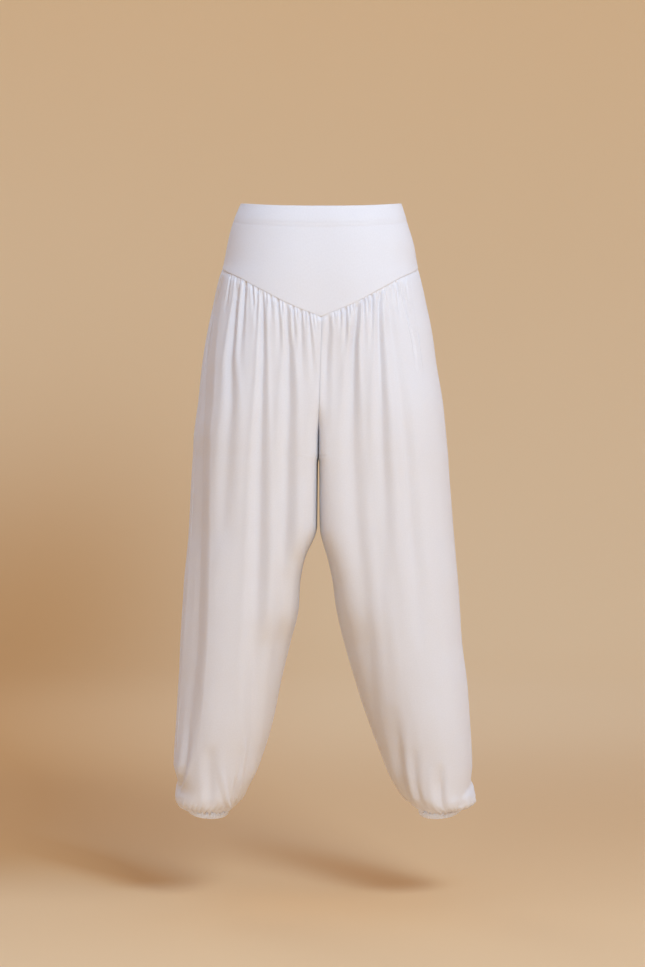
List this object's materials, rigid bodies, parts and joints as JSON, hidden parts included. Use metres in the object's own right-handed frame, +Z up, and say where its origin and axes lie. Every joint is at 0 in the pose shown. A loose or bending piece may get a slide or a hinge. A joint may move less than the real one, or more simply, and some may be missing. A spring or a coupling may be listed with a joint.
{
  "type": "yoga pants",
  "caption": "Full-legged yoga pants with a wide V-seamed yoke waistband, gathered legs and ribbed ankle cuffs, held in their hollow worn shape.",
  "frame": {"origin": "centre of the waistband's upper edge, where the wearer's waist holds the garment", "axes": "+Z up along the garment, -Y out of its front, +X to the right of someone who faces the front"},
  "size_m": [0.4907, 0.265, 0.996],
  "materials": {
    "yoke_cloth": "smooth white stretch jersey, matt",
    "leg_cloth": "soft white draping jersey, matt with a faint sheen",
    "cuff_cloth": "white ribbed elastic knit, matt"
  },
  "bodies": {
    "root": {"yoke_front": "yoke_cloth", "yoke_back": "yoke_cloth", "leg_front_left": "leg_cloth", "leg_front_right": "leg_cloth", "leg_back_left": "leg_cloth", "leg_back_right": "leg_cloth", "cuff_left": "cuff_cloth", "cuff_right": "cuff_cloth"}
  },
  "joints": []
}
